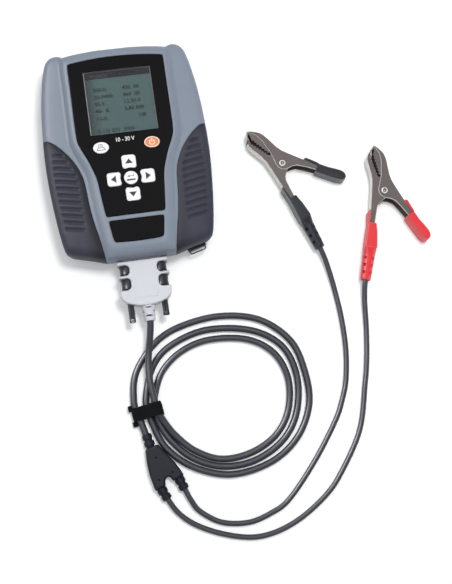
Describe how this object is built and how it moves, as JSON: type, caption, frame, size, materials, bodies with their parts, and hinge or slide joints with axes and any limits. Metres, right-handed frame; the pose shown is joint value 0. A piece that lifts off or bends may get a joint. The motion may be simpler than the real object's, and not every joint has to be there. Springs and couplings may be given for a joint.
{
  "type": "battery tester",
  "caption": "Handheld vehicle battery tester with display and keypad, plug-in lead set with a coiled cord, splitter and two sprung clamps.",
  "frame": {"origin": "centre of the tester's footprint, on the surface it lies on", "axes": "+Y towards the display end, +Z out of the face, +X to the right of the display"},
  "size_m": [0.3742, 0.4991, 0.0465],
  "materials": {
    "shell": "smooth moulded",
    "grip": "soft overmould",
    "panel": "gloss",
    "lens": "clear",
    "bright_metal": "bright",
    "lcd": "reflective display",
    "board": "lacquered",
    "silicone": "moulded",
    "key_white": "satin",
    "key_orange": "satin",
    "loop": "dark",
    "hood": "smooth moulded",
    "screw_black": "knurled",
    "cord": "satin jacket",
    "tie": "hook and loop",
    "moulding": "matt moulding",
    "steel": "plated",
    "black_vinyl": "dipped vinyl",
    "red_vinyl": "dipped vinyl"
  },
  "bodies": {
    "tester": {"front_cover": "shell", "rear_cover": "shell", "left_grip": "grip", "right_grip": "grip", "fascia": "panel", "name_plate": "panel", "display_window": "lens", "display_frame": "bright_metal", "lcd_panel": "lcd", "main_board": "board", "key_mat": "silicone", "case_screws": "bright_metal", "rubber_feet": "grip", "socket": "bright_metal", "jack_nuts": "bright_metal", "strap_loop": "loop", "plug_shell": "bright_metal", "hood_upper": "hood", "hood_lower": "hood", "cable_boot": "hood", "main_cord": "cord", "cord_tie": "tie", "splitter": "moulding", "black_lead": "cord", "red_lead": "cord", "black_cord_jaw": "steel", "black_rivet": "bright_metal", "black_spring": "bright_metal", "black_cord_sleeve": "black_vinyl", "red_cord_jaw": "steel", "red_rivet": "bright_metal", "red_spring": "bright_metal", "red_cord_sleeve": "red_vinyl"},
    "key_up": {"key_up": "key_white"},
    "key_down": {"key_down": "key_white"},
    "key_left": {"key_left": "key_white"},
    "key_right": {"key_right": "key_white"},
    "key_enter": {"key_enter": "key_white"},
    "key_print": {"key_print": "key_white"},
    "key_power": {"key_power": "key_orange"},
    "thumbscrew_left": {"thumbscrew_left": "screw_black"},
    "thumbscrew_right": {"thumbscrew_right": "screw_black"},
    "black_lever": {"black_lever_jaw": "steel", "black_lever_sleeve": "black_vinyl"},
    "red_lever": {"red_lever_jaw": "steel", "red_lever_sleeve": "red_vinyl"}
  },
  "joints": [
    {"name": "press_up", "type": "slide", "parent": "tester", "child": "key_up", "axis": [0, 0, -1], "range_m": [0, 0.0004], "stiffness_N_per_m": 400, "springref_m": -0.0006},
    {"name": "press_down", "type": "slide", "parent": "tester", "child": "key_down", "axis": [0, 0, -1], "range_m": [0, 0.0004], "stiffness_N_per_m": 400, "springref_m": -0.0006},
    {"name": "press_left", "type": "slide", "parent": "tester", "child": "key_left", "axis": [0, 0, -1], "range_m": [0, 0.0004], "stiffness_N_per_m": 400, "springref_m": -0.0006},
    {"name": "press_right", "type": "slide", "parent": "tester", "child": "key_right", "axis": [0, 0, -1], "range_m": [0, 0.0004], "stiffness_N_per_m": 400, "springref_m": -0.0006},
    {"name": "press_enter", "type": "slide", "parent": "tester", "child": "key_enter", "axis": [0, 0, -1], "range_m": [0, 0.0004], "stiffness_N_per_m": 400, "springref_m": -0.0006},
    {"name": "press_print", "type": "slide", "parent": "tester", "child": "key_print", "axis": [0, 0, -1], "range_m": [0, 0.0004], "stiffness_N_per_m": 400, "springref_m": -0.0006},
    {"name": "press_power", "type": "slide", "parent": "tester", "child": "key_power", "axis": [0, 0, -1], "range_m": [0, 0.0004], "stiffness_N_per_m": 400, "springref_m": -0.0006},
    {"name": "turn_thumbscrew_left", "type": "hinge", "parent": "tester", "child": "thumbscrew_left", "pos_m": [-0.01665, -0.13, 0.02], "axis": [0, -1, 0], "continuous": true},
    {"name": "turn_thumbscrew_right", "type": "hinge", "parent": "tester", "child": "thumbscrew_right", "pos_m": [0.01665, -0.13, 0.02], "axis": [0, -1, 0], "continuous": true},
    {"name": "open_black_clamp", "type": "hinge", "parent": "tester", "child": "black_lever", "pos_m": [0.1543, -0.0265, 0.0085], "axis": [0, 0, 1], "range_deg": [-30, 0], "stiffness_Nm_per_rad": 1.2, "springref_deg": 28.65, "deforming": ["black_spring"]},
    {"name": "open_red_clamp", "type": "hinge", "parent": "tester", "child": "red_lever", "pos_m": [0.2536, -0.0684, 0.0085], "axis": [0, 0, 1], "range_deg": [-30, 0], "stiffness_Nm_per_rad": 1.2, "springref_deg": 28.65, "deforming": ["red_spring"]}
  ]
}
